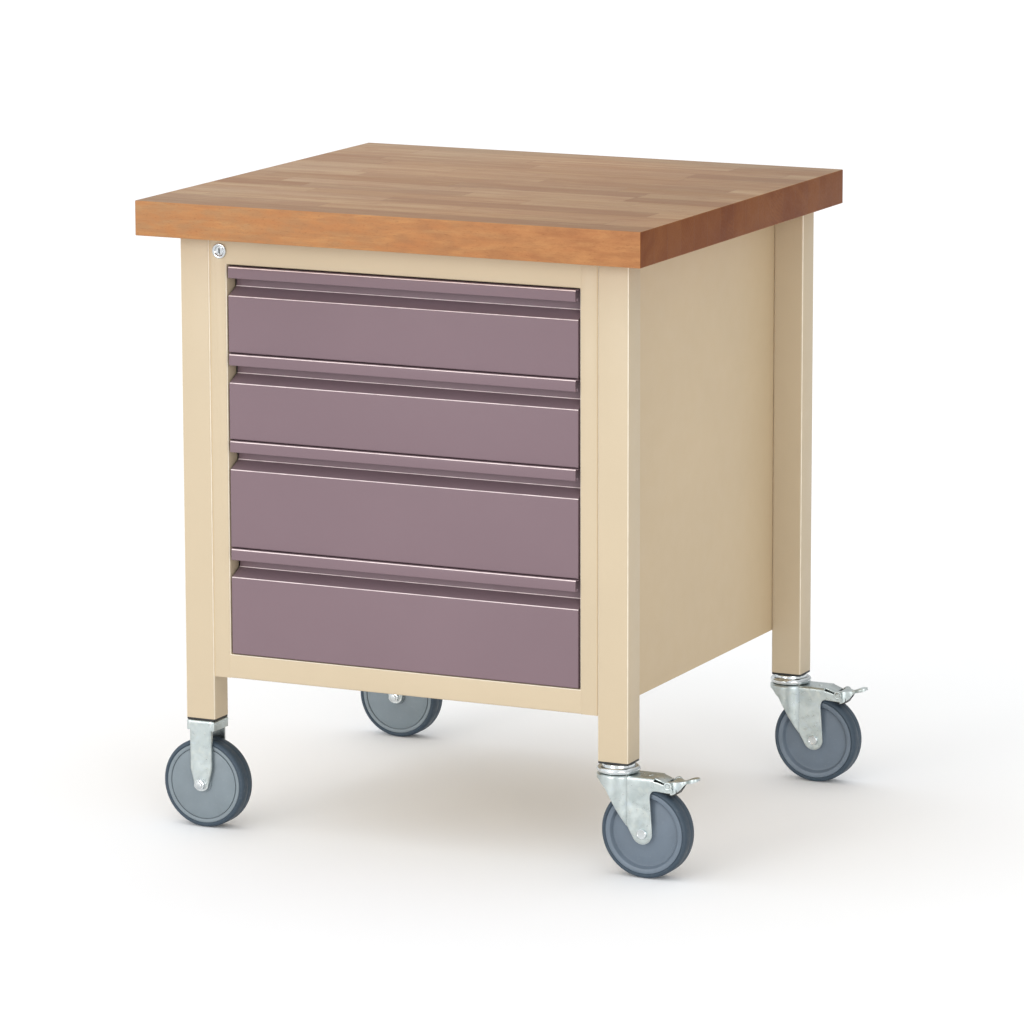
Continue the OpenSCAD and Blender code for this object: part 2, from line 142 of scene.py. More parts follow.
def add_object(name, data):
    thing = bpy.data.objects.new(name, data)
    bpy.context.scene.collection.objects.link(thing)
    return thing


class Shape:
    """Closed forms gathered into one mesh, which becomes one piece."""

    def __init__(self, at=(0, 0, 0)):
        self.mesh = bmesh.new()
        self.at = Vector(at)

    def grid(self, rows, wrap=False):
        """Skin over rows of points, with the same number in each."""
        made = [[self.mesh.verts.new(self.at + Vector(p)) for p in row] for row in rows]
        for low, high in zip(made, made[1:]):
            last = len(low) if wrap else len(low) - 1
            for k in range(last):
                n = (k + 1) % len(low)
                self.mesh.faces.new((low[k], low[n], high[n], high[k]))
        return made

    def solid(self, rows):
        """A closed body: the skin over closed rows of points, and a face at either end."""
        made = self.grid(rows, wrap=True)
        for row in (made[0], made[-1]):
            self.mesh.faces.new(row)

    def prism(self, outline, axis, low, high, hole=None):
        """An outline drawn out along an axis, with an optional hole all the way through."""
        a, b, c = AXES[axis]

        def ring(points, level):
            row = []
            for p in points:
                q = [0, 0, 0]
                q[a], q[b], q[c] = p[0], p[1], level
                row.append(q)
            return row

        outside = [ring(outline, low), ring(outline, high)]
        if hole is None:
            self.solid(outside)
            return
        outer = self.grid(outside, wrap=True)
        inner = self.grid([ring(hole, low), ring(hole, high)], wrap=True)
        for out, into in zip(outer, inner):
            for k in range(len(out)):
                n = (k + 1) % len(out)
                self.mesh.faces.new((out[k], out[n], into[n], into[k]))

    def box(self, low, high, radius=0.0):
        self.prism(rectangle(low[0], low[1], high[0], high[1], radius), "z", low[2], high[2])

    def lathe(self, outline, axis, centre=(0, 0, 0), steps=72):
        """A closed outline of (radius, height) points turned about an axis through a centre."""
        a, b, c = AXES[axis]
        rows = []
        for k in range(steps):
            turn = 2 * math.pi * k / steps
            row = []
            for radius, height in outline:
                q = [0, 0, 0]
                q[a], q[b], q[c] = radius * math.cos(turn), radius * math.sin(turn), height
                row.append(Vector(q) + Vector(centre))
            rows.append(row)
        self.grid(rows + [rows[0]], wrap=True)

    def piece(self, name, material, body, slot, *stands_for, edge=0.0, segments=2, shell=0.0,
              outward=None, cut=None):
        """The finished object: welded, thickened, eased, shaded, and put on its body.

        A skin that gets a shell says which way its furthest face looks, and thickens inwards."""
        bmesh.ops.remove_doubles(self.mesh, verts=self.mesh.verts, dist=1e-6)
        bmesh.ops.recalc_face_normals(self.mesh, faces=self.mesh.faces)
        if outward is not None:
            way = Vector(outward)
            furthest = max(self.mesh.faces, key=lambda face: face.calc_center_median().dot(way))
            furthest.normal_update()
            if furthest.normal.dot(way) < 0:
                bmesh.ops.reverse_faces(self.mesh, faces=self.mesh.faces)
        thing = self.placed(name)
        if cut is not None:
            opened = thing.modifiers.new("cut", "BOOLEAN")
            opened.object = cut
            opened.solver = "EXACT"
        if shell:
            thick = thing.modifiers.new("shell", "SOLIDIFY")
            thick.thickness = shell
            thick.offset = -1
            thick.use_even_offset = True
        if edge:
            ease_edges(thing, edge, segments)
        apply_modifiers(thing)
        if cut is not None:
            bpy.data.objects.remove(cut)
        shade(thing.data)
        thing.data.materials.clear()
        thing.data.materials.append(material)
        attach(thing, body)
        if stands_for:
            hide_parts(*stands_for)
        return thing

    def cutter(self):
        """The form as a bare object that a piece is cut with."""
        bmesh.ops.recalc_face_normals(self.mesh, faces=self.mesh.faces)
        return self.placed("cutter")

    def placed(self, name):
        data = bpy.data.meshes.new(name)
        self.mesh.to_mesh(data)
        self.mesh.free()
        return add_object(name, data)


def ease_edges(thing, width, segments):
    eased = thing.modifiers.new("edge", "BEVEL")
    eased.width = width
    eased.segments = segments
    eased.limit_method = "ANGLE"
    eased.angle_limit = math.radians(40)


def apply_modifiers(thing):
    graph = bpy.context.evaluated_depsgraph_get()
    done = bpy.data.meshes.new_from_object(thing.evaluated_get(graph))
    thing.modifiers.clear()
    thing.data = done


def shade(data, limit=32):
    """Smooth shading that stays crisp across edges sharper than the limit, in degrees."""
    form = bmesh.new()
    form.from_mesh(data)
    for face in form.faces:
        face.smooth = True
    for side in form.edges:
        side.smooth = len(side.link_faces) == 2 and side.calc_face_angle(0) < math.radians(limit)
    form.to_mesh(data)
    form.free()


def smoothstep(low, high, value):
    t = min(1.0, max(0.0, (value - low) / (high - low)))
    return t * t * (3 - 2 * t)


# ---------------------------------------------------------------- materials

class Finish:
    """A procedural material. Each method adds one or more nodes and returns an output socket."""

    def __init__(self, name, **constants):
        self.material = bpy.data.materials.new(name)
        self.material.use_nodes = True
        self.tree = self.material.node_tree
        self.surface = self.tree.nodes["Principled BSDF"]
        for socket, value in constants.items():
            self.surface.inputs[socket.replace("_", " ")].default_value = value
        self.place = self.add("ShaderNodeTexCoord").outputs["Object"]

    def add(self, kind, inputs=(), **settings):
        """A node with its settings. An input that is a socket is linked, and a value is set."""
        node = self.tree.nodes.new(kind)
        for key, value in settings.items():
            setattr(node, key, value)
        for key, value in dict(inputs).items():
            if isinstance(value, bpy.types.NodeSocket):
                self.tree.links.new(value, node.inputs[key])
            else:
                node.inputs[key].default_value = value
        return node

    def finish(self, name, socket):
        self.tree.links.new(socket, self.surface.inputs[name])

    def math(self, operation, *values):
        return self.add("ShaderNodeMath", enumerate(values), operation=operation).outputs[0]

    def inverse(self, value):
        return self.math("SUBTRACT", 1.0, value)

    def size(self, value):
        return self.math("ABSOLUTE", value)

    def off_centre(self, value):
        """How far a value is from the middle of its whole step, 0 to 0.5."""
        return self.size(self.math("SUBTRACT", self.math("FRACT", value), 0.5))

    def vectors(self, operation, *values):
        node = self.add("ShaderNodeVectorMath", enumerate(values), operation=operation)
        return node.outputs["Value" if operation == "DOT_PRODUCT" else "Vector"]

    def split(self, vector):
        return self.add("ShaderNodeSeparateXYZ", {0: vector}).outputs

    def normal(self):
        return self.add("ShaderNodeNewGeometry").outputs["Normal"]

    def chance(self, dimensions, **inputs):
        """A fixed random value and colour for each whole input."""
        return self.add("ShaderNodeTexWhiteNoise", inputs, noise_dimensions=dimensions).outputs

    def stretched(self, scale, place=None):
        inputs = {"Vector": place or self.place, "Scale": scale}
        return self.add("ShaderNodeMapping", inputs).outputs[0]

    def noise(self, scale, detail=2.0, roughness=0.5, place=None, distortion=0.0):
        inputs = {"Vector": place or self.place, "Scale": scale, "Detail": detail,
                  "Roughness": roughness, "Distortion": distortion}
        return self.add("ShaderNodeTexNoise", inputs).outputs["Fac"]

    def grain(self, scale, detail, roughness=0.5, place=None, distortion=0.0):
        """Noise with its own scale along each axis."""
        return self.noise(1.0, detail, roughness, self.stretched(scale, place), distortion)

    def between(self, value, low, high, out_low=0.0, out_high=1.0):
        inputs = {"Value": value, "From Min": low, "From Max": high,
                  "To Min": out_low, "To Max": out_high}
        return self.add("ShaderNodeMapRange", inputs, clamp=True).outputs[0]

    def blend(self, factor, first, second, mode="MIX"):
        inputs = {0: factor, 6: opaque(first), 7: opaque(second)}
        return self.add("ShaderNodeMix", inputs, data_type="RGBA", blend_type=mode).outputs[2]

    def ramp(self, factor, stops):
        node = self.add("ShaderNodeValToRGB", {"Fac": factor})
        points = node.color_ramp.elements
        while len(points) < len(stops):
            points.new(1.0)
        for point, (position, colour) in zip(points, stops):
            point.position = position
            point.color = opaque(colour)
        return node.outputs["Color"]

    def edges(self, width):
        """1 along the outer edges of a piece, 0 on its faces, found from the rounded normal."""
        soft = self.add("ShaderNodeBevel", {"Radius": width}, samples=4).outputs[0]
        return self.between(self.vectors("DOT_PRODUCT", soft, self.normal()), 0.99, 0.86)

    def bends(self):
        """Painted highlight mask: 1 where the sheet bends, 0 on flat faces and where a bend looks
        down, as a bend facing down catches no light.
        """
        normal = self.normal()
        upward = self.between(self.split(normal)["Z"], -0.35, -0.1)
        x, y, z = self.split(self.vectors("ABSOLUTE", normal))
        most = self.math("MAXIMUM", self.math("MAXIMUM", x, y), z)
        return self.math("MULTIPLY", self.between(most, 0.86, 0.79), upward)

    def colour(self, socket):
        self.finish("Base Color", socket)

    def roughness(self, value, low, high):
        self.finish("Roughness", self.between(value, 0.3, 0.7, low, high))

    def bump(self, *layers):
        """Relief from (height, depth in metres) layers, laid one over the other."""
        normal = None
        for height, depth in layers:
            inputs = {"Height": height, "Distance": depth, "Strength": 1.0}
            if normal is not None:
                inputs["Normal"] = normal
            normal = self.add("ShaderNodeBump", inputs).outputs[0]
        self.finish("Normal", normal)


def opaque(colour):
    """A plain red, green, blue triple as an opaque colour; a socket stays as it is."""
    return (*colour, 1.0) if isinstance(colour, tuple) else colour


def scaled(colour, factor):
    return tuple(factor * value for value in colour)


def powder_coat(name, colour, highlight_colour):
    """Baked powder paint: orange peel, fine speckle, uneven tone, and thin painted highlights along
    the bends.
    """
    paint = Finish(name, Specular_IOR_Level=0.2, Coat_Weight=0.1, Coat_Roughness=0.2)
    tone = paint.between(paint.noise(5.0, 3.0), 0.3, 0.7)
    base = paint.blend(tone, scaled(colour, 0.97), scaled(colour, 1.02))
    speckle = paint.between(paint.noise(1700.0, 1.0), 0.62, 0.74, 0.0, 0.2)
    base = paint.blend(speckle, base, scaled(colour, 0.74))
    # painted highlight: a light colour along the bends facing up or sideways, made uneven by noise
    painted_light = paint.between(paint.noise(60.0, 3.0), 0.3, 0.6, 0.7, 1.0)
    bend = paint.math("MULTIPLY", paint.bends(), painted_light)
    paint.colour(paint.blend(bend, base, highlight_colour))
    paint.roughness(paint.noise(38.0, 3.0), 0.4, 0.52)
    paint.bump((paint.noise(950.0, 2.0), 0.00005), (paint.noise(240.0, 1.0), 0.00007))
    return paint.material


def beech():
    """Oiled beech staves, each glued up from shorter lengths with staggered butt joints."""
    staves = 16
    stave = (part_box("worktop")[1].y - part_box("worktop")[0].y) / staves
    wood = Finish("beech_staves", Specular_IOR_Level=0.12)
    x, y, _ = wood.split(wood.place)
    row_at = wood.math("DIVIDE", y, stave)
    row = wood.math("FLOOR", row_at)
    shuffle = wood.chance("1D", W=row)["Value"]
    length = wood.between(shuffle, 0.0, 1.0, 0.24, 0.52)
    shifted = wood.math("MULTIPLY_ADD", shuffle, 7.3, x)
    # the outermost staves, seen from the front and the back, run through without a joint
    inside = wood.math("LESS_THAN", wood.size(wood.math("ADD", row, 0.5)), staves / 2 - 0.8)
    cell_at = wood.math("DIVIDE", shifted, length)
    cell_at = wood.math("MULTIPLY_ADD", wood.math("SUBTRACT", cell_at, 0.5), inside, 0.5)
    cell = wood.math("FLOOR", cell_at)
    key = wood.add("ShaderNodeCombineXYZ", {0: cell, 1: row}).outputs[0]
    tone, hues = wood.chance("3D", Vector=key)
    tint = wood.split(hues)["Z"]
    own = wood.vectors("ADD", wood.place, wood.vectors("MULTIPLY", hues, (9.0, 9.0, 9.0)))
    # grain along the staves: broad bands, fine streaks and the short dark flecks of beech
    bands = wood.grain((2.6, 46.0, 46.0), 3.0, 0.6, own, 0.7)
    streaks = wood.grain((9.0, 420.0, 420.0), 4.0, 0.65, own)
    flecks = wood.between(wood.grain((210.0, 1500.0, 1500.0), 1.0, 0.5, own), 0.64, 0.74, 0.0, 0.42)
    base = wood.ramp(tone, [(0.0, (0.340, 0.138, 0.050)), (0.34, (0.450, 0.204, 0.076)),
                            (0.72, (0.545, 0.275, 0.112)), (1.0, (0.470, 0.218, 0.086))])
    # flame-like figure: short reddish and yellow clouds drawn out along the grain, then the grain
    figure = wood.grain((13.0, 62.0, 75.0), 4.0, 0.62, own, 0.7)
    for value, low, high, most, colour in (
            (figure, 0.5, 0.7, 0.5, (0.355, 0.128, 0.046)),
            (figure, 0.5, 0.3, 0.42, (0.560, 0.300, 0.112)),
            (bands, 0.35, 0.7, 0.5, (0.36, 0.145, 0.054)),
            (streaks, 0.45, 0.75, 0.36, (0.30, 0.115, 0.042)),
            (tint, 0.0, 1.0, 0.14, (0.62, 0.36, 0.18))):
        base = wood.blend(wood.between(value, low, high, 0.0, most), base, colour)
    sides = wood.blend(flecks, base, (0.20, 0.075, 0.028))
    # end grain on the two short ends: curved growth rings, pores and a darker, oil-soaked tone
    rings = wood.add("ShaderNodeTexWave", {"Vector": wood.stretched((1.0, 1.0, 0.55), own),
                                           "Scale": 95.0, "Distortion": 5.0, "Detail": 2.0,
                                           "Detail Scale": 0.8},
                     wave_type="RINGS", rings_direction="X").outputs["Fac"]
    pores = wood.between(wood.noise(1900.0, 1.0), 0.58, 0.72, 0.0, 0.35)
    ends = wood.ramp(tone, [(0.0, (0.150, 0.040, 0.009)), (0.5, (0.165, 0.046, 0.010)),
                            (0.96, (0.175, 0.051, 0.012)), (1.0, (0.205, 0.070, 0.019))])
    blotch = wood.noise(11.0, 4.0, 0.6, distortion=0.8)
    ends = wood.blend(wood.between(blotch, 0.4, 0.62, 0.0, 0.55), ends, (0.235, 0.084, 0.022))
    ends = wood.blend(wood.between(rings, 0.2, 0.9, 0.0, 0.26), ends, (0.115, 0.032, 0.009))
    ends = wood.blend(pores, ends, (0.08, 0.022, 0.007))
    facing = wood.split(wood.normal())
    at_end, at_side = (wood.between(wood.size(facing[axis]), 0.6, 0.8) for axis in "XY")
    on_top = wood.between(facing["Z"], 0.6, 0.8)
    # thin glue lines between the staves and across the butt joints
    seam = wood.between(wood.off_centre(row_at), 0.488, 0.498)
    butt = wood.between(wood.off_centre(cell_at), 0.4985, 0.4998)
    lines = wood.math("MAXIMUM", wood.math("MULTIPLY", seam, wood.inverse(at_side)),
                      wood.math("MULTIPLY", butt, wood.inverse(at_end)))
    # painted shade and sheen: the top gets a duller, bluer brown than the edges, darker still
    # towards the right
    along = wood.between(x, -0.3, 0.3)
    painted_light = wood.blend(along, (0.88, 1.21, 1.82), (0.715, 0.97, 1.41))
    uneven = wood.between(wood.noise(2.2, 3.0), 0.3, 0.7, 0.6, 1.0)
    top = wood.blend(uneven, sides, painted_light, "MULTIPLY")
    top = wood.blend(wood.inverse(inside), top, (0.92, 0.93, 0.95), "MULTIPLY")
    sides = wood.blend(on_top, sides, top)
    # the front and back edges are unevenly oiled, with darker clouds
    clouds = wood.between(wood.grain((26.0, 60.0, 90.0), 4.0, 0.65), 0.4, 0.62, 0.15, 1.0)
    oil = wood.blend(along, (0.885, 1.05, 1.24), (0.81, 0.78, 0.80))
    sides = wood.blend(wood.math("MULTIPLY", at_side, clouds), sides, oil, "MULTIPLY")
    whole = wood.blend(at_end, sides, ends)
    whole = wood.blend(wood.math("MULTIPLY", lines, 0.55), whole, (0.13, 0.055, 0.03))
    worn = wood.math("MULTIPLY", wood.edges(2 * MM), 0.35)
    wood.colour(wood.blend(worn, whole, (0.62, 0.36, 0.18)))
    gloss = wood.math("MULTIPLY_ADD", streaks, 0.6, wood.math("MULTIPLY", bands, 0.4))
    wood.roughness(gloss, 0.42, 0.6)
    wood.bump((streaks, 0.00005), (wood.inverse(lines), 0.00012))
    return wood.material


def zinc(name, dark, light, rough_low, rough_high):
    """Bright zinc plating: cloudy tone, faint warm and blue patches and fine rolling marks."""
    metal = Finish(name, Metallic=1.0)
    cloud = metal.noise(42.0, 4.0, 0.6, distortion=0.6)
    base = metal.blend(metal.between(cloud, 0.3, 0.7), dark, light)
    patch = metal.noise(75.0, 2.0, 0.5, distortion=1.2)
    base = metal.blend(metal.between(patch, 0.55, 0.72, 0.0, 0.16), base, (0.78, 0.74, 0.60))
    base = metal.blend(metal.between(patch, 0.42, 0.28, 0.0, 0.18), base, (0.52, 0.62, 0.74))
    rub = metal.math("MULTIPLY", metal.edges(1.2 * MM), 0.5)
    metal.colour(metal.blend(rub, base, (0.86, 0.88, 0.88)))
    metal.roughness(metal.noise(160.0, 3.0), rough_low, rough_high)
    metal.bump((metal.grain((900.0, 900.0, 60.0), 2.0), 0.00003), (cloud, 0.0001))
    return metal.material


def plastic(name, colour, rough_low, rough_high, grain):
    """Moulded plastic: fine spark texture, uneven gloss and a little dust in the relief."""
    body = Finish(name, Specular_IOR_Level=0.4)
    tone = body.between(body.noise(30.0, 3.0), 0.3, 0.7)
    base = body.blend(tone, scaled(colour, 0.93), scaled(colour, 1.06))
    dust = body.between(body.noise(220.0, 4.0, 0.7), 0.58, 0.8, 0.0, 0.14)
    body.colour(body.blend(dust, base, (0.46, 0.46, 0.44)))
    body.roughness(body.noise(90.0, 3.0), rough_low, rough_high)
    body.bump((body.noise(grain, 2.0), 0.00005))
    return body.material


def chrome():
    """Polished chrome with hairline scratches."""
    metal = Finish("chrome", Metallic=1.0)
    hair = metal.grain((2600.0, 300.0, 700.0), 2.0)
    metal.colour(metal.blend(metal.between(hair, 0.4, 0.7), (0.52, 0.54, 0.55),
                             (0.68, 0.70, 0.71)))
    metal.roughness(metal.noise(300.0, 3.0), 0.09, 0.2)
    metal.bump((hair, 0.000012))
    return metal.material


def floor_finish():
    """Plain pale studio floor with the faintest mottling."""
    ground = Finish("floor", Specular_IOR_Level=0.2)
    shade_of = ground.between(ground.noise(1.3, 2.0), 0.3, 0.7)
    ground.colour(ground.blend(shade_of, (0.965, 0.965, 0.965), (0.98, 0.98, 0.98)))
    ground.roughness(ground.noise(2.0), 0.75, 0.85)
    return ground.material


BEECH = beech()
# the last colour of each paint is its painted highlight along the bends
CREAM = powder_coat("cream_powder_coat", (0.524, 0.428, 0.297), (0.84, 0.77, 0.64))
# painted shade: the cream paint again, a little darker and warmer, for the side walls as the light
# falls on them
SIDE_SHADED_CREAM = powder_coat("cream_side_shaded_coat", (0.534, 0.415, 0.264), (0.84, 0.77, 0.64))
MAUVE = powder_coat("mauve_powder_coat", (0.188, 0.128, 0.145), (0.96, 0.82, 0.81))
ZINC = zinc("zinc_sheet", (0.40, 0.45, 0.445), (0.56, 0.61, 0.60), 0.26, 0.4)
BRIGHT_ZINC = zinc("zinc_turned", (0.56, 0.60, 0.61), (0.74, 0.77, 0.78), 0.16, 0.26)
CHROME = chrome()
BLACK = plastic("black_plastic", (0.018, 0.018, 0.016), 0.42, 0.55, 900.0)
# The wheel plastic comes in two copies: the darker, bluer one on the dished centres is partly
# painted shade for their dish, the lighter, greyer one on the flat covers partly their smoother
# finish.
SHADED_RIM_PLASTIC = plastic("wheel_plastic_dish_shaded", (0.127, 0.160, 0.198), 0.36, 0.5, 700.0)
COVER = plastic("wheel_cover_plastic", (0.181, 0.217, 0.239), 0.36, 0.5, 700.0)
TYRE = plastic("tyre_rubber", (0.038, 0.059, 0.082), 0.48, 0.64, 500.0)


# ---------------------------------------------------------------- worktop and frame

LEGS = ("leg_front_left", "leg_front_right", "leg_back_left", "leg_back_right")
SHEET = 1.5 * MM            # steel of the uprights and rails
BEND = 1.9 * MM             # radius of their folds, at the middle of the sheet
DRAWER_SHEET = 1.2 * MM
LOCK_HOLE = 8.1 * MM        # radius of the hole in the upright, a little wider than the lock's body


def make_worktop():
    low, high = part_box("worktop")
    slab = Shape()
    slab.box(low, high, 1.8 * MM)
    slab.piece("worktop_slab", BEECH, "root", "beech", "worktop", edge=1.2 * MM, segments=3)


def make_leg(node):
    low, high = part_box(node)
    wall = 2 * MM
    tube = Shape()
    tube.prism(inside(low, high, 0, 3.2 * MM, 6), "z", low.z, high.z,
               inside(low, high, wall, 1.2 * MM, 6))
    tube.piece(node + "_tube", CREAM, "root", "cream_paint", node, edge=0.4 * MM)


def make_plugs():
    """Plastic plug under each leg: a flange as wide as the leg and a body inside the tube."""
    plugs = Shape()
    bottom, top = (corner.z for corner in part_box("leg_plugs"))
    for node in LEGS:
        low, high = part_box(node)
        seam = low.z - 0.1 * MM
        for inset, corner, z0, z1 in ((0.3 * MM, 3 * MM, bottom, seam),
                                      (2.2 * MM, 1 * MM, seam, top)):
            plugs.prism(inside(low, high, inset, corner), "z", z0, z1)
    plugs.piece("leg_plug_set", BLACK, "root", "black_plastic", "leg_plugs", edge=0.6 * MM)


def make_stile(node, mirror, with_lock):
    """Folded upright beside the drawers: a face, an inner side and a short return."""
    low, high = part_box(node)
    half = SHEET / 2
    return_width = 3 * MM
    inner, outer = (low.x, high.x) if mirror > 0 else (-high.x, -low.x)
    path = [(outer, low.y + half), (inner + half, low.y + half),
            (inner + half, high.y - half), (inner + return_width, high.y - half)]
    outline = folded([(x * mirror, y) for x, y in path], BEND, SHEET)
    stile = Shape()
    stile.prism(outline, "z", low.z, high.z)
    cut = None
    if with_lock:
        ring_low, ring_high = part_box("lock_housing")
        middle = (ring_low + ring_high) / 2
        hole = Shape()
        hole.prism(circle((middle.x, middle.z), LOCK_HOLE), "y", low.y - 2 * MM, low.y + 4 * MM)
        cut = hole.cutter()
    stile.piece(node + "_sheet", CREAM, "root", "cream_paint", node, edge=0.3 * MM, cut=cut)


def make_front_rail(node, reach_down=0.0):
    """Folded rail across the front, with a flange at its top and one at its bottom.

    It laps a little over the bends of the uprights, so that no notch shows at its ends, and it
    can reach below its solid, to narrow the gap over the top drawer."""
    low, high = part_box(node)
    half = SHEET / 2
    lap = 1.8 * MM
    foot = low.z + half - reach_down
    path = [(high.y, foot), (low.y + half, foot),
            (low.y + half, high.z - half), (high.y, high.z - half)]
    rail = Shape()
    rail.prism(folded(path, BEND, SHEET), "x", low.x - lap, high.x + lap)
    rail.piece(node + "_sheet", CREAM, "root", "cream_paint", node, edge=0.3 * MM)


def make_housing_walls():
    """Walls, floor and back keep their shape; blind rivets hold the back along its edges."""
    for node in ("housing_wall_left", "housing_wall_right"):
        # the side walls take the cream copy with painted side shade
        finish_node(node, SIDE_SHADED_CREAM, 0.6 * MM)
    for node in ("housing_floor", "housing_back"):
        finish_node(node, CREAM, 0.6 * MM)
    low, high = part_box("housing_back")
    dome = in_mm([(0, 0), (3.6, 0), (3.3, 0.6), (2.3, 1.2), (0.9, 1.5), (0.7, 0.9), (0, 0.9)])
    inset = 12 * MM
    rows = [low.z + inset + (high.z - low.z - 2 * inset) * k / 5 for k in range(6)]
    columns = [low.x + inset + (high.x - low.x - 2 * inset) * k / 4 for k in range(5)]
    places = [(x, z) for z in rows for x in (columns[0], columns[-1])]
    places += [(x, z) for x in columns[1:-1] for z in (rows[0], rows[-1])]
    rivets = Shape()
    for x, z in places:
        rivets.lathe(dome, "y", (x, high.y - 0.1 * MM, z), 20)
    rivets.piece("back_rivets", CREAM, "root", "cream_paint")


def finish_node(node, material, edge=0.0):
    """A CAD node that keeps its shape: its material, and eased edges where it is thick enough."""
    thing = NODES[node]
    thing.data.materials.clear()
    thing.data.materials.append(material)
    if edge:
        ease_edges(thing, edge, 2)


def finish_inner_parts():
    for node in ("top_crossbars", "slide_posts", "lock_bar", "worktop_screws", "housing_screws"):
        finish_node(node, ZINC, 0.3 * MM)
    for number in range(1, 5):
        for member in ("inner", "middle", "outer"):
            finish_node(f"drawer_{number}_{member}_rails", ZINC, 0.3 * MM)


# ---------------------------------------------------------------- drawers

def make_drawer_front(number):
    """One folded sheet: flange, face, sloping lip, back of the recess, top and grip strip."""
    node = f"drawer_{number}_front"
    low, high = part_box(node)
    half = DRAWER_SHEET / 2
    strip = low.y + half                    # middle of the sheet in the grip strip,
    face = low.y + 4 * MM + half            # in the face
    recess = high.y - half                  # and at the back of the recess
    lip = high.z - 41.5 * MM
    crease = high.z - 30 * MM
    strip_bottom = high.z - 16 * MM
    hem = 3 * MM
    # the sheet reaches a little below its solid, to narrow the gap over the next drawer
    foot = low.z + half - (0.8 * MM if number < 4 else 0)
    # each point of the fold with its radius
    bends = [((recess + half, foot), 0), ((face, foot), 1.6), ((face, lip), 2.6),
             ((recess, crease), 3.6), ((recess, high.z - half), 1.6),
             ((strip, high.z - half), 3.3), ((strip, strip_bottom + half), 0.9),
             ((strip + hem, strip_bottom + half), 1.0), ((strip + hem, strip_bottom + 4 * MM), 0)]
    outline = folded([point for point, _ in bends], [radius * MM for _, radius in bends],
                     DRAWER_SHEET, 6)
    play = 0.7 * MM
    left, right = low.x + play, high.x - play
    front = Shape()
    front.prism(outline, "x", left, right)
    # the grip strip stops short of the ends of the face
    inset = 2 * MM
    ends = Shape()
    for x in (left, right):
        ends.box((x - inset, low.y - 2 * MM, strip_bottom - 2 * MM),
                 (x + inset, low.y + 3.8 * MM, high.z + 2 * MM))
    front.piece(f"{node}_sheet", MAUVE, f"drawer_{number}", "mauve_paint", node,
                edge=0.35 * MM, cut=ends.cutter())
    near = low.y + 6.2 * MM
    far = high.y - DRAWER_SHEET
    outline = rounded([(near, low.z + DRAWER_SHEET), (far, low.z + DRAWER_SHEET),
                       (far, lip + 7 * MM), (near, lip - 1.6 * MM)], [0, 1 * MM, 0, 0])
    sides = Shape()
    for x in (left, right - DRAWER_SHEET):
        sides.prism(outline, "x", x, x + DRAWER_SHEET)
    sides.piece(f"{node}_sides", MAUVE, f"drawer_{number}", "mauve_paint", edge=0.3 * MM)


def make_drawer_tray(number):
    """Sheet tray with rounded corners and a hem turned outwards round its top edge."""
    node = f"drawer_{number}_tray"
    low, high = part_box(node)
    corner = 3 * MM
    hem, hem_height, seam = 1.3 * MM, 9 * MM, 0.05 * MM
    floor = low.z + DRAWER_SHEET
    outside = inside(low, high, 0, corner)
    tray = Shape()
    tray.prism(outside, "z", floor, high.z,
               inside(low, high, DRAWER_SHEET, corner - DRAWER_SHEET))
    tray.prism(outside, "z", low.z, floor)
    rim = rectangle(low.x - hem, low.y + 0.02 * MM, high.x + hem, high.y + hem, corner + hem)
    tray.prism(rim, "z", high.z - hem_height, high.z - seam, inside(low, high, seam, corner))
    tray.piece(f"{node}_sheet", CREAM, f"drawer_{number}", "cream_paint", node, edge=0.3 * MM)


# ---------------------------------------------------------------- lock

def make_lock():
    """A ring in the upright, a core with a keyhole that turns in it, and the cam behind."""
    low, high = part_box("lock_housing")
    x, z = (low.x + high.x) / 2, (low.z + high.z) / 2
    centre = (x, 0, z)
    rim = high.x - x
    bore, body = 6.56 * MM, 8 * MM
    plate = low.y + 2.5 * MM
    bevel = [(bore, 0.9), (bore + 0.5 * MM, 0.5), (bore + 1.1 * MM, 0.15),
             (rim - 1.2 * MM, 0), (rim - 0.5 * MM, 0.3), (rim, 1.1)]
    outline = [(radius, low.y + depth * MM) for radius, depth in bevel]
    outline += [(rim, plate), (body, plate), (body, high.y), (bore, high.y)]
    ring = Shape()
    ring.lathe(outline, "y", centre, 64)
    ring.piece("lock_ring", CHROME, "root", "chrome", "lock_housing")
    core_low, core_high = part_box("lock_plug")
    radius = 6.45 * MM
    front = core_low.y + 0.4 * MM
    cam = core_high.y - 4.5 * MM
    core = Shape()
    core.lathe([(0, front + 0.25 * MM), (4.6 * MM, front + 0.25 * MM), (5 * MM, front),
                (radius - 0.5 * MM, front), (radius, front + 0.5 * MM), (radius, cam), (0, cam)],
               "y", centre, 64)
    slot_x, slot_z = 1.1 * MM, 3.9 * MM
    key = Shape()
    key.prism(rectangle(x - slot_x, z - slot_z, x + slot_x, z + slot_z, 0.9 * MM), "y",
              front - 2 * MM, front + 12 * MM)
    core.piece("lock_core_face", CHROME, "lock_core", "chrome", "lock_plug",
               edge=0.15 * MM, cut=key.cutter())
    # the cam points down to the right at rest, with a pin near its end
    along = Vector((1, -1)).normalized()
    across = Vector((along.y, -along.x)) * 3.4 * MM
    hub = Vector((x, z))
    near, far = hub - along * 4 * MM, hub + along * 12.2 * MM
    outline = rounded([near + across, far + across, far - across, near - across], 3.2 * MM, 8)
    arm = Shape()
    arm.prism(outline, "y", cam, cam + 2 * MM)
    arm.prism(circle(hub + along * 9 * MM, 1.5 * MM, 24), "y", cam + 2 * MM, core_high.y)
    arm.piece("lock_cam", ZINC, "lock_core", "zinc", edge=0.2 * MM)


# ---------------------------------------------------------------- castors
# In this section outlines are in millimetres, and Shape puts them at the castor's own axis.

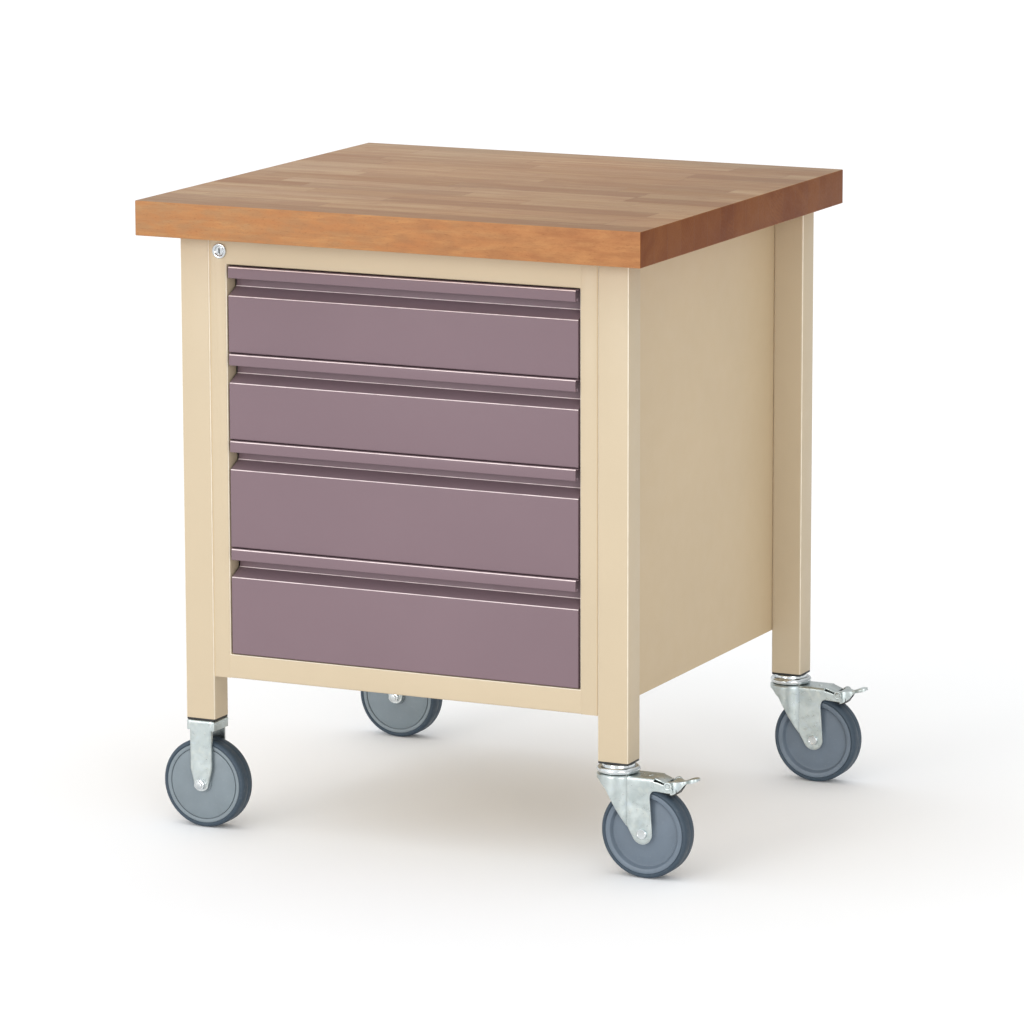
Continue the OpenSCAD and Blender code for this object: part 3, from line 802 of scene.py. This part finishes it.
# Across the floor from the swivel axis, and above the floor: the axle and the lever's rod
AXLE = (43.0, 62.5)
ROD = (80.0, 131.0)
CROWN = 29.5            # radius of the fork's round nose
CHEEK = 20.0            # from the middle of the fork to the outside of a cheek
ROOF = 139.7            # top of the fork
FORK_SHEET = 2.4
FRONT_SLOPE = 1.76      # how steeply the fork's front edge runs down to the axle
FIXED_STRIP = 22.0      # from the middle of a fixed castor to the outside of its strips
WHEEL = 62.5            # radius over the tyre


def wheel_centre(node):
    low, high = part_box(node)
    return (low + high) / 2


def middle_x(node):
    low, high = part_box(node)
    return (low.x + high.x) / 2


def make_wheel(place, body, covered):
    """Wheel centre and tyre. A covered wheel is flat, the other dished with a raised hub."""
    centre = wheel_centre(f"wheel_{place}")
    half = [(6.15, 17.3), (11.5, 17.3), (12.6, 16.6), (12.9, 14.4)]
    if covered:
        half += [(49.2, 14.2), (49.7, 13.9), (49.8, 12.2), (50.7, 12.2), (50.8, 13.9), (51.3, 14.5)]
    else:
        half += [(14.5, 12.4), (18.0, 11.2), (30.0, 10.4), (41.0, 9.0), (44.8, 8.2), (46.6, 8.5),
                 (47.7, 9.8), (48.7, 13.2), (49.8, 14.4)]
    half += [(52.4, 15.0), (54.6, 15.0), (55.5, 14.8), (56.0, 14.3)]
    disc = Shape()
    disc.lathe(in_mm(mirrored(half)), "y", centre, 128)
    # a dished centre takes the darker copy with painted shade
    disc.piece(f"wheel_{place}_centre", COVER if covered else SHADED_RIM_PLASTIC, body, "rim_grey",
               f"wheel_{place}")
    shoulder = 6.2
    half = [(56.1, 14.1), (56.9, 15.1), (58.2, 15.75)]
    half += arc((WHEEL - shoulder, 9.8), shoulder, 74, 8, 9)
    # the tread ends in a fine groove round the middle
    half += [(WHEEL - 0.02, 6.0), (WHEEL, 0.6), (WHEEL - 0.12, 0.35), (WHEEL - 0.12, 0.0)]
    tread = Shape()
    tread.lathe(in_mm(mirrored(half)), "y", centre, 144)
    tread.piece(f"tyre_{place}_tread", TYRE, body, "tyre_grey", f"tyre_{place}")


def bush(bore, radius, low, high, eased=0.4):
    """Outline of a ring with eased outer corners."""
    return in_mm([(bore, low), (radius - eased, low), (radius, low + eased),
                  (radius, high - eased), (radius - eased, high), (bore, high)])


def hexagon_nut(shape, centre, radius, low, high):
    """A nut along y with slightly rounded corners."""
    turns = [math.radians(60 * k + 15) for k in range(6)]
    corners = [(centre.x + radius * MM * math.cos(a), centre.z + radius * MM * math.sin(a))
               for a in turns]
    shape.prism(rounded(corners, 1.2 * MM, 3), "y", centre.y + low * MM, centre.y + high * MM)


def make_fixed_bolts():
    """Bolts of the fixed castors: washer, nut and thread in front, spacers, and a head behind."""
    out = FIXED_STRIP
    end = out + 8.0
    bolt = [(0, -end), (4.0, -end), (5.0, 0.9 - end), (5.0, -out), (5.95, -out), (5.95, out + 1),
            (0, out + 1)]
    washer = [(5.2, -out - 0.7), (7.8, -out - 0.7), (8.2, -out - 0.4), (8.2, 0.1 - out),
              (5.2, 0.1 - out)]
    head = [(0, out + 3.4), (3.4, out + 3.3), (6.2, out + 2.7), (7.7, out + 1.6), (8, out),
            (0, out)]
    spacers = [[(6.0, a), (9.0, a), (9.0, b), (6.0, b)]
               for a, b in ((17.45, 19.9), (-19.9, -17.45))]
    bolts = Shape()
    for place in ("front", "back"):
        centre = wheel_centre(f"wheel_{place}_left")
        for outline in (bolt, washer, head, *spacers):
            bolts.lathe(in_mm(outline), "y", centre, 48)
        hexagon_nut(bolts, centre, 8.0, -out - 5.6, -out - 0.7)
    bolts.piece("fixed_castor_bolts", BRIGHT_ZINC, "root", "zinc", "fixed_castor_axles",
                edge=0.5 * MM)


def make_swivel_bolt(place):
    """Axle of a swivel castor: a flat round head with a raised rim in front, and a nut behind."""
    centre = wheel_centre(f"wheel_{place}_right")
    out = CHEEK
    outline = [(0, -out - 2.5), (4.9, -out - 2.6), (5.4, -out - 3.0), (6.2, -out - 3.0),
               (6.8, -out - 2.5), (7.0, -out - 1.4), (7.0, -out), (5.95, -out),
               (5.95, out + 4.9), (5.0, out + 5.5), (0, out + 5.5)]
    bolt = Shape()
    bolt.lathe(in_mm(outline), "y", centre, 56)
    hexagon_nut(bolt, centre, 8.5, out, out + 4.5)
    bolt.piece(f"axle_{place}_right_bolt", BRIGHT_ZINC, f"swivel_{place}", "zinc",
               f"axle_{place}_right", edge=0.3 * MM)


def make_fixed_bracket(place, y):
    """Cap with a skirt all round, two flanged strips down to the axle, and the stem in the leg."""
    node = f"fixed_bracket_{place}"
    x = middle_x(node)
    top, half, wall, skirt, bend = 152.85, 21.8, 2.4, 139.0, 2.4

    def ring(inset, z):
        side = half - inset
        outline = rectangle(-side, -side, side, side, max(0.6, 3.6 - inset), 6)
        return in_mm([(p.x, p.y, z) for p in outline])

    rows = [ring(wall, top - wall), ring(wall, skirt + 0.4), ring(wall - 0.4, skirt),
            ring(0.4, skirt), ring(0, skirt + 0.4), ring(0, top - bend)]
    rows += [ring(into, top - bend + up) for into, up in quarter(bend, first=15)]
    cap = Shape((x, y, 0))
    cap.solid(rows)
    stem, stem_top, eased = 5.5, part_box(node)[1].z / MM, 0.8
    outline = [(0, top - 0.5), (stem, top - 0.5), (stem, stem_top - eased),
               (stem - eased, stem_top), (0, stem_top)]
    cap.lathe(in_mm(outline), "z", steps=32)
    cap.piece(node + "_cap", ZINC, "root", "zinc", node)
    for name, sign in (("near", -1), ("far", 1)):
        strip = Shape((x, y, 0))
        strip.grid(strip_rows(sign))
        strip.piece(f"{node}_strip_{name}", ZINC, "root", "zinc", shell=2.2 * MM,
                    outward=(0, sign, 0), edge=0.3 * MM)


def strip_rows(sign):
    """One skin: it starts under the axle, widens, runs up and folds over the top."""
    axle = AXLE[1]
    wide, end, below = 17.0, 11.4, 9.6      # half widths over and at the axle, and its reach below
    taper = 22.0
    flange, bend = 4.6, 2.8

    def half_width(z):
        if z < axle:
            return end * math.sqrt(max(0.04, 1 - ((axle - z) / below) ** 2))
        return min(wide, end + (wide - end) * (z - axle) / taper)

    # (how far back, height) up the middle of the strip
    levels = (52.95, 53.1, 53.5, 54.2, 55.2, 56.8, 59.2, axle, 66, 70, 74, 79, 82.5, 84.5, 86.5,
              92, 100, 110, 120, 130, 140, 145, 147, 148)
    path = [(0.0, z) for z in levels]
    path += [(into, 150.4 + up) for into, up in quarter(2.6)]
    path += [(6.0, 153.0), (10.0, 153.0)]
    turns = [math.radians(a) for a in range(0, 91, 15)]
    rows = []
    for back, z in path:
        w = half_width(z)
        # the flanges along both sides fade out round the axle and under the fold
        depth = 0.1 + flange * smoothstep(58, 68, z) * (1 - smoothstep(146.6, 147.6, z))
        r = min(bend, depth * 0.95)
        row = [(w, depth), (w, (depth + r) / 2)]
        row += [(w - r * (1 - math.cos(a)), r * (1 - math.sin(a))) for a in turns]
        row += [((w - r) * t, 0.0) for t in (0.66, 0.33, 0.0)]
        rows.append([Vector((across, sign * (FIXED_STRIP - deep - back), z)) * MM
                     for across, deep in both_sides(row)])
    return rows


def make_swivel_head(place, y):
    """Turned head: a narrow ring over a wide rounded one, with the stem and the king pin."""
    node = f"swivel_head_{place}"
    pin, stem = (corner.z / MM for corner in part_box(node))
    outline = [(0, stem), (4.7, stem), (5.5, stem - 0.8), (5.5, 152.9), (21.4, 152.9),
               (22.3, 152.2), (22.5, 151.4), (22.5, 150.0), (22.6, 149.3)]
    outline += arc((24.95, 144.75), 4.5, 118, -70, 20)
    outline += [(25.6, 140.3), (6.0, 140.3), (6.0, pin + 3), (8.6, pin + 3), (9.0, pin + 2.5),
                (8.4, pin + 0.8), (6.6, pin), (0, pin)]
    head = Shape((middle_x(node), y, 0))
    head.lathe(in_mm(outline), "z", steps=112)
    head.piece(node + "_turned", BRIGHT_ZINC, "root", "zinc", node)


def leading_edge(s):
    """Height of the fork's slanting front edge above the floor, s out from the swivel axis."""
    if s <= -8:
        return 132.5 - 9.5 * smoothstep(-24, -8, s) ** 1.4
    return 123.0 - FRONT_SLOPE * (s + 8)


def even(points, count):
    """The same path with a number of evenly spaced points."""
    points = [Vector(p) for p in points]
    reach = [0.0]
    for before, after in zip(points, points[1:]):
        reach.append(reach[-1] + (after - before).length)
    result = []
    k = 0
    for i in range(count):
        want = reach[-1] * i / (count - 1)
        while k < len(points) - 2 and reach[k + 1] < want:
            k += 1
        share = (want - reach[k]) / max(1e-9, reach[k + 1] - reach[k])
        result.append(points[k].lerp(points[k + 1], min(1.0, share)))
    return result


def fork_cheek(sheet, sign):
    """One side plate with its arm, as a skin in the plane of the cheek. Returns its upper edge."""
    start, rear, upper, corner = 19.5, 54.0, 136.4, 114.0
    end = 14.5                          # radius of the rounded end under the axle
    across, below, above = 22, 18, 8    # meshes along the cheek, and below and above the arm
    turn = math.atan2(-FRONT_SLOPE, 1.0) - math.pi / 2
    touch = (AXLE[0] + end * math.cos(turn), AXLE[1] + end * math.sin(turn))
    bottom = [(start, leading_edge(start)), touch] + arc(AXLE, end, math.degrees(turn), 0, 18)
    bottom = even(bottom, across + 1)
    right = even([(AXLE[0] + end, AXLE[1]), (AXLE[0] + end - 0.6, 74), (rear + 0.2, 110),
                  (rear, corner)], below + 1)
    right += even([(rear, corner), (rear, upper)], above + 1)[1:]
    left = even([bottom[0], (start, upper)], below + above + 1)
    top = even([(start, upper), (rear, upper)], across + 1)
    count = below + above
    rows = []
    for i in range(across + 1):
        u = i / across
        row = []
        for k in range(count + 1):
            v = k / count
            p = bottom[i].lerp(top[i], v) + left[k].lerp(right[k], u)
            p -= bottom[0].lerp(bottom[-1], u).lerp(top[0].lerp(top[-1], u), v)
            row.append((p.x, sign * CHEEK, p.y))
        rows.append(in_mm(row))
    sheet.grid(rows)
    # the arm runs on behind the arch over the wheel: (distance out, lower edge, upper edge)
    arm = [(54.0, 114.0, 136.4), (54.5, 117.3, 136.3), (56.0, 120.2, 136.1), (58.0, 121.9, 135.8),
           (60.0, 122.6, 135.5), (63.0, 122.8, 135.2), (66.5, 122.6, 134.6), (70.0, 122.4, 133.5),
           (74.5, 122.2, 132.1), (79.0, 121.9, 130.6), (83.0, 121.7, 129.0), (85.6, 122.2, 127.6),
           (86.8, 123.4, 126.2)]
    sheet.grid([in_mm([(s, sign * CHEEK, low + (high - low) * k / above) for k in range(above + 1)])
                for s, low, high in arm])
    return [(p.x, upper) for p in top] + [(s, high) for s, low, high in arm[1:5]]


def make_fork(place, y):
    """Pressed fork: a round nose, two cheeks with arms, and a roof with a flap bent down."""
    node = f"fork_{place}_right"
    body = f"swivel_{place}"
    x = middle_x(f"swivel_head_{place}")
    sheet = Shape((x, y, 0))
    edge = fork_cheek(sheet, -1)
    fork_cheek(sheet, 1)
    shoulder = 3.4
    rows = []
    for s, z in edge:
        half = [(shoulder * into - CHEEK, z + (ROOF - z) * up) for into, up in quarter(1.0)]
        half += [((shoulder - CHEEK) * t, ROOF) for t in (0.75, 0.5, 0.25, 0.0)]
        rows.append(in_mm([(s, across, high) for across, high in both_sides(half)]))
    sheet.grid(rows)
    sheet.piece(node + "_sheet", ZINC, body, "zinc", node, shell=FORK_SHEET * MM,
                outward=(0, 0, 1), edge=0.5 * MM)
    # the nose: the crown's rim, drawn down at both sides to meet the cheeks in a crease
    crease = math.degrees(math.asin(CHEEK / CROWN))
    bend, crown_top = 3.0, ROOF + 0.2
    rows = []
    for k in range(73):
        a = math.radians(-crease - (360 - 2 * crease) * k / 72)
        s, across = math.cos(a), math.sin(a)
        low, high = leading_edge(CROWN * s), crown_top - bend
        row = [(CROWN, low + (high - low) * t / 10) for t in range(11)]
        row += [(CROWN - into, high + up) for into, up in quarter(bend, first=15)]
        row += [(24.0, crown_top), (20.0, crown_top)]
        rows.append(in_mm([(r * s, r * across, z) for r, z in row]))
    nose = Shape((x, y, 0))
    nose.grid(rows)
    nose.piece(f"fork_{place}_nose", ZINC, body, "zinc", shell=FORK_SHEET * MM,
               outward=(-1, 0, 0), edge=0.5 * MM)
    # flap behind the roof, ears round the lever's rod and a rivet in the roof
    extra = Shape((x, y, 0))
    flap = folded(in_mm([(56.0, 138.5), (60.5, 138.5), (74.2, 133.4)]), 2.5 * MM, 2.1 * MM)
    extra.prism(flap, "y", -15 * MM, 15 * MM)
    for inner, outer in ((-20.4, -15.1), (15.1, 20.4)):
        extra.lathe(bush(3.35, 6.0, inner, outer), "y", (ROD[0] * MM, 0, ROD[1] * MM), 40)
    rivet = [(0, 140.9), (1.8, 140.8), (3.2, 140.4), (3.9, 139.9), (4.1, 139.2), (0, 139.2)]
    extra.lathe(in_mm(rivet), "z", (47 * MM, 0, 0), 28)
    extra.piece(f"fork_{place}_roof_parts", ZINC, body, "zinc", edge=0.4 * MM)


def make_brake_lever(place, y):
    """Rod in the fork's ears, a channel that narrows to a spoon-shaped pedal, and the shoe."""
    node = f"brake_lever_{place}"
    body = f"brake_{place}"
    x = middle_x(f"swivel_head_{place}")
    pivot = (x + ROD[0] * MM, y, ROD[1] * MM)
    lever = Shape(pivot)
    end = 20.9
    rod = [(0, -end), (2.5, -end), (3.1, 0.6 - end), (3.1, end - 0.6), (2.5, end), (0, end)]
    lever.lathe(in_mm(rod), "y", steps=32)
    for inner, outer in ((-14.6, -9.4), (9.4, 14.6)):
        lever.lathe(bush(3.2, 5.3, inner, outer), "y", steps=40)
    # stations of the body and the pedal: (distance out, half width, top, depth of the sides, dish)
    stations = [(1.5, 14.4, 5.0, 17.4, 0), (3.4, 14.4, 5.3, 17.8, 0.2),
                (5.6, 13.9, 5.4, 17.0, 0.3), (8.0, 12.5, 5.2, 15.4, 0.4),
                (10.4, 10.4, 5.0, 13.4, 0.4), (12.8, 8.2, 5.0, 11.2, 0.3),
                (15.0, 6.3, 5.2, 8.6, 0.2), (17.0, 5.2, 5.6, 6.2, 0.1),
                (19.2, 4.8, 6.3, 5.0, 0.1), (21.6, 5.2, 7.3, 4.6, 0.5),
                (24.2, 6.6, 8.5, 4.9, 1.3), (27.2, 7.6, 9.6, 5.4, 2.0),
                (30.4, 7.8, 10.4, 5.6, 2.2), (33.4, 7.2, 10.8, 5.2, 1.9),
                (35.6, 6.0, 11.0, 4.5, 1.3), (37.1, 4.2, 11.0, 3.6, 0.6),
                (37.9, 2.2, 10.8, 2.7, 0.2)]
    wall, lanes = 1.7, 10

    def dished(width, height, dish):
        """Points from one side of the lever to the other over a shallow hollow."""
        across = [1 - 2 * k / lanes for k in range(1, lanes)]
        return [(width * t, height - dish * (1 - t ** 2)) for t in across]

    rows = []
    for reach, width, top, depth, dish in stations:
        bottom = top - depth
        r = min(1.3, depth * 0.5, width * 0.4)
        half = [(width, bottom), (width, top - r)]
        half += [(width - into, top - r + up) for into, up in quarter(r, 30, 30)]
        outer = half + dished(width - r, top, dish) + [(-py, pz) for py, pz in reversed(half)]
        w = width - min(wall, width * 0.45)
        under = bottom + max(0.15, depth - wall) * 0.98
        lower = [(-w, bottom), (-w, under)] + dished(-w, under, dish) + [(w, under), (w, bottom)]
        rows.append(in_mm([(reach, py, pz) for py, pz in outer + lower]))
    lever.solid(rows)
    lever.piece(node + "_pedal", ZINC, body, "zinc", node)
    shoe = Shape(pivot)
    outline = rounded([(-2.0, -4.0), (-2.2, -13.6), (6.6, -13.8), (9.6, -9.0), (9.0, -4.0)], 1.3)
    shoe.prism(in_mm(outline), "y", -12 * MM, 12 * MM)
    shoe.piece(f"brake_shoe_{place}", BLACK, body, "black_plastic", edge=0.5 * MM)


def make_castors():
    for place in ("front", "back"):
        y = wheel_centre(f"wheel_{place}_left").y
        make_fixed_bracket(place, y)
        make_wheel(f"{place}_left", f"fixed_wheel_{place}", True)
        make_swivel_head(place, y)
        make_fork(place, y)
        make_wheel(f"{place}_right", f"swivel_wheel_{place}", False)
        make_swivel_bolt(place)
        make_brake_lever(place, y)
    make_fixed_bolts()


# ---------------------------------------------------------------- studio

def make_floor():
    data = bpy.data.meshes.new("floor")
    form = bmesh.new()
    bmesh.ops.create_grid(form, x_segments=4, y_segments=4, size=45.0)
    form.to_mesh(data)
    form.free()
    floor = add_object("floor", data)
    data.materials.append(floor_finish())


def sun_light(name, azimuth, elevation, strength, spread):
    """Broad light from an azimuth measured like the camera's: 0 in front, 90 at the right."""
    light = bpy.data.lights.new(name, "SUN")
    light.energy = strength
    light.angle = math.radians(spread)
    lamp = add_object(name, light)
    a, e = math.radians(azimuth), math.radians(elevation)
    lamp.location = Vector((math.sin(a) * math.cos(e), -math.cos(a) * math.cos(e), math.sin(e))) * 5
    lamp.rotation_mode = "QUATERNION"
    lamp.rotation_quaternion = (-lamp.location).to_track_quat("-Z", "Y")


def make_lights():
    """A bright dome, stronger overhead and at the front left, with a key and a side light."""
    world = bpy.data.worlds.new("studio")
    bpy.context.scene.world = world
    world.use_nodes = True
    tree = world.node_tree
    sky = tree.nodes["Background"]
    sky.inputs["Color"].default_value = (0.975, 0.988, 1.0, 1.0)
    slope, level = tree.nodes.new("ShaderNodeVectorMath"), tree.nodes.new("ShaderNodeMath")
    slope.operation, level.operation = "DOT_PRODUCT", "ADD"
    slope.inputs[1].default_value = (-0.24, -0.22, 0.5)
    level.inputs[1].default_value = 0.72
    direction = tree.nodes.new("ShaderNodeTexCoord").outputs["Generated"]
    tree.links.new(direction, slope.inputs[0])
    tree.links.new(slope.outputs["Value"], level.inputs[0])
    tree.links.new(level.outputs[0], sky.inputs["Strength"])
    sun_light("key", azimuth=-18, elevation=11, strength=0.82, spread=24)
    sun_light("side", azimuth=40, elevation=9, strength=0.9, spread=26)


def make_camera():
    """The viewing angle: a long lens at the right front, a little above the worktop."""
    azimuth, pitch, roll = (math.radians(angle) for angle in (25.44, 10.905, 0.145))
    distance, sideways, height = 7.634, 0.0209, 0.4192
    forward = Vector((-math.sin(azimuth) * math.cos(pitch), math.cos(azimuth) * math.cos(pitch),
                      -math.sin(pitch)))
    level = Vector((math.cos(azimuth), math.sin(azimuth), 0))
    down = forward.cross(level)
    right = level * math.cos(roll) + down * math.sin(roll)
    lower = -level * math.sin(roll) + down * math.cos(roll)
    lens = bpy.data.cameras.new("camera")
    lens.sensor_width = 36.0
    lens.lens = 192.07
    lens.clip_end = 200
    camera = add_object("camera", lens)
    place = level * sideways + Vector((0, 0, height)) - forward * distance
    turn = Matrix((right, -lower, -forward)).transposed().to_4x4()
    camera.matrix_world = Matrix.Translation(place) @ turn
    bpy.context.scene.camera = camera


make_camera()
make_lights()
make_floor()
make_worktop()
for leg in LEGS:
    make_leg(leg)
make_plugs()
make_stile("front_stile_left", -1, True)
make_stile("front_stile_right", 1, False)
make_front_rail("front_rail_top", reach_down=1.2 * MM)
make_front_rail("front_rail_bottom")
make_housing_walls()
finish_inner_parts()
for drawer in range(1, 5):
    make_drawer_front(drawer)
    make_drawer_tray(drawer)
make_lock()
make_castors()

bpy.context.scene.view_settings.view_transform = "Standard"
bpy.context.view_layer.update()
